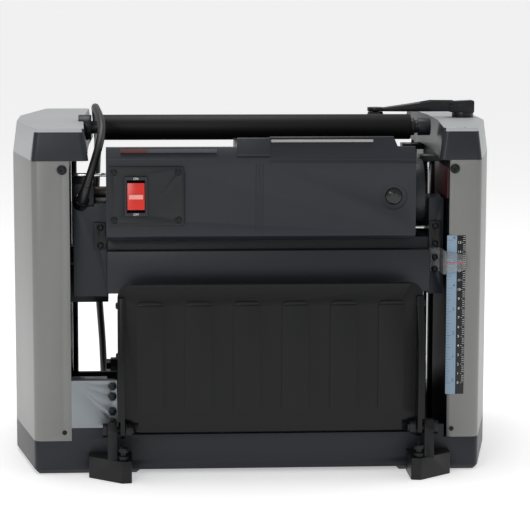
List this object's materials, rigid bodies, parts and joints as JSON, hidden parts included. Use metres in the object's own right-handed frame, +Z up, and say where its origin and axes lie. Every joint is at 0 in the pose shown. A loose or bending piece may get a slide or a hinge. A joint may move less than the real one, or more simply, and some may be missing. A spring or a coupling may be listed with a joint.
{
  "type": "thickness planer",
  "caption": "Benchtop thickness planer: a motor head with a knife cylinder climbs posts between two side columns, over a bed with folding tables.",
  "frame": {"origin": "on the floor, at the middle of the machine left to right and front to back", "axes": "+X across the work to the crank side, +Y from the infeed to the outfeed side, +Z up"},
  "size_m": [0.5194, 0.5578, 0.3832],
  "materials": {
    "base_enamel": "satin dark grey enamel on cast aluminium",
    "bed_steel": "ground steel",
    "zinc_plate": "zinc plated sheet",
    "cover_paint": "satin warm grey paint",
    "black_paint": "satin black paint",
    "black_steel": "black oxide",
    "maroon_moulding": "dark red moulding",
    "cap_moulding": "textured light grey moulding",
    "black_moulding": "fine textured black moulding",
    "roller_sleeve": "matt black sleeve",
    "chromed_post": "hard chrome",
    "bronze": "sintered bronze",
    "bright_steel": "turned steel",
    "table_powder": "smooth black powder coat",
    "head_enamel": "dark blue grey enamel on cast aluminium",
    "clear_acrylic": "clear acrylic",
    "scale_film": "printed film",
    "motor_moulding": "fine textured blue black moulding",
    "stator_iron": "laminated iron",
    "gloss_black": "polished",
    "switch_red": "moulded red",
    "feed_rubber": "moulded rubber",
    "cutter_alloy": "machined",
    "cord_rubber": "black cord jacket"
  },
  "bodies": {
    "frame": {"base_frame": "base_enamel", "bed_plate": "bed_steel", "front_rail": "zinc_plate", "side_cover_left": "cover_paint", "side_cover_right": "cover_paint", "side_frames": "black_paint", "cover_screws": "black_steel", "drive_shield": "maroon_moulding", "cap_left": "cap_moulding", "cap_right": "cap_moulding", "cap_fascia_left": "black_moulding", "cap_fascia_right": "black_moulding", "roller_brackets": "black_moulding", "roller_axle": "black_steel", "guide_posts": "chromed_post", "screw_bushes": "bronze", "lift_chain": "black_steel", "table_brackets": "black_paint", "frame_bolts": "black_steel", "height_scales": "scale_film", "cord_lead": "cord_rubber", "mains_cord": "cord_rubber", "cord_coil": "cord_rubber", "mains_plug": "cord_rubber"},
    "head": {"side_block_left": "head_enamel", "side_block_right": "head_enamel", "slide_bushes": "bronze", "head_casting": "head_enamel", "crossbars": "head_enamel", "block_plates": "black_paint", "depth_pointer": "clear_acrylic", "motor_housing": "motor_moulding", "motor_end_bell": "black_moulding", "motor_stator": "stator_iron", "brush_caps": "gloss_black", "switch_plate": "motor_moulding", "switch_bezel": "black_moulding", "head_screws": "black_steel", "head_bearings": "bright_steel", "drive_belt": "feed_rubber", "belt_cover": "black_moulding", "tie_rods": "bright_steel", "chip_hood": "black_moulding", "cord_grommet": "gloss_black"},
    "top_roller": {"top_roller": "roller_sleeve"},
    "right_screw": {"lead_screw_right": "bright_steel", "crank_hub": "black_paint"},
    "left_screw": {"lead_screw_left": "bright_steel"},
    "crank_arm": {"crank_arm": "black_paint"},
    "crank_knob": {"crank_knob": "black_moulding"},
    "infeed_table": {"infeed_table": "table_powder", "infeed_table_arms": "table_powder"},
    "outfeed_table": {"outfeed_table": "table_powder", "outfeed_table_arms": "table_powder"},
    "motor": {"motor_rotor": "stator_iron"},
    "cutterhead": {"cutterhead": "cutter_alloy", "knives": "bright_steel"},
    "infeed_roller": {"infeed_roller": "feed_rubber"},
    "outfeed_roller": {"outfeed_roller": "feed_rubber"},
    "switch_paddle": {"switch_paddle": "switch_red"}
  },
  "joints": [
    {"name": "head_lift", "type": "slide", "parent": "frame", "child": "head", "axis": [0, 0, 1], "range_m": [-0.127, 0.0254], "deforming": ["cord_lead"]},
    {"name": "right_screw_spin", "type": "hinge", "parent": "frame", "child": "right_screw", "pos_m": [0.238, 0, 0.1], "axis": [0, 0, 1], "range_deg": [-5761, 28801]},
    {"name": "left_screw_spin", "type": "hinge", "parent": "frame", "child": "left_screw", "pos_m": [-0.238, 0, 0.1], "axis": [0, 0, 1], "range_deg": [-5761, 28801]},
    {"name": "crank_fold", "type": "hinge", "parent": "right_screw", "child": "crank_arm", "pos_m": [0.224, 0, 0.3768], "axis": [0, 1, 0], "range_deg": [0, 175]},
    {"name": "knob_spin", "type": "hinge", "parent": "crank_arm", "child": "crank_knob", "pos_m": [0.14, 0, 0.357], "axis": [0, 0, 1], "continuous": true},
    {"name": "infeed_fold", "type": "hinge", "parent": "frame", "child": "infeed_table", "pos_m": [0.0125, -0.185, 0.052], "axis": [1, 0, 0], "range_deg": [0, 90]},
    {"name": "outfeed_fold", "type": "hinge", "parent": "frame", "child": "outfeed_table", "pos_m": [0.0125, 0.185, 0.052], "axis": [-1, 0, 0], "range_deg": [0, 90]},
    {"name": "roller_spin", "type": "hinge", "parent": "frame", "child": "top_roller", "pos_m": [0.005, -0.042, 0.357], "axis": [1, 0, 0], "continuous": true},
    {"name": "cutter_spin", "type": "hinge", "parent": "head", "child": "cutterhead", "pos_m": [0.0125, 0, 0.2145], "axis": [1, 0, 0], "continuous": true},
    {"name": "motor_spin", "type": "hinge", "parent": "head", "child": "motor", "pos_m": [0, -0.104, 0.293], "axis": [1, 0, 0], "continuous": true},
    {"name": "infeed_feed", "type": "hinge", "parent": "head", "child": "infeed_roller", "pos_m": [0.0125, -0.048, 0.2045], "axis": [1, 0, 0], "continuous": true},
    {"name": "outfeed_feed", "type": "hinge", "parent": "head", "child": "outfeed_roller", "pos_m": [0.0125, 0.048, 0.2045], "axis": [1, 0, 0], "continuous": true},
    {"name": "switch_rock", "type": "hinge", "parent": "head", "child": "switch_paddle", "pos_m": [-0.127, -0.158, 0.2945], "axis": [1, 0, 0], "range_deg": [0, 14]}
  ],
  "couplings": [
    {"joint": "right_screw_spin", "follows": "head_lift", "rad_per_m": -3957.9},
    {"joint": "left_screw_spin", "follows": "head_lift", "rad_per_m": -3957.9},
    {"joint": "motor_spin", "follows": "cutter_spin", "ratio": 1.7},
    {"joint": "infeed_feed", "follows": "cutter_spin", "ratio": -0.0105},
    {"joint": "outfeed_feed", "follows": "cutter_spin", "ratio": -0.0105}
  ]
}
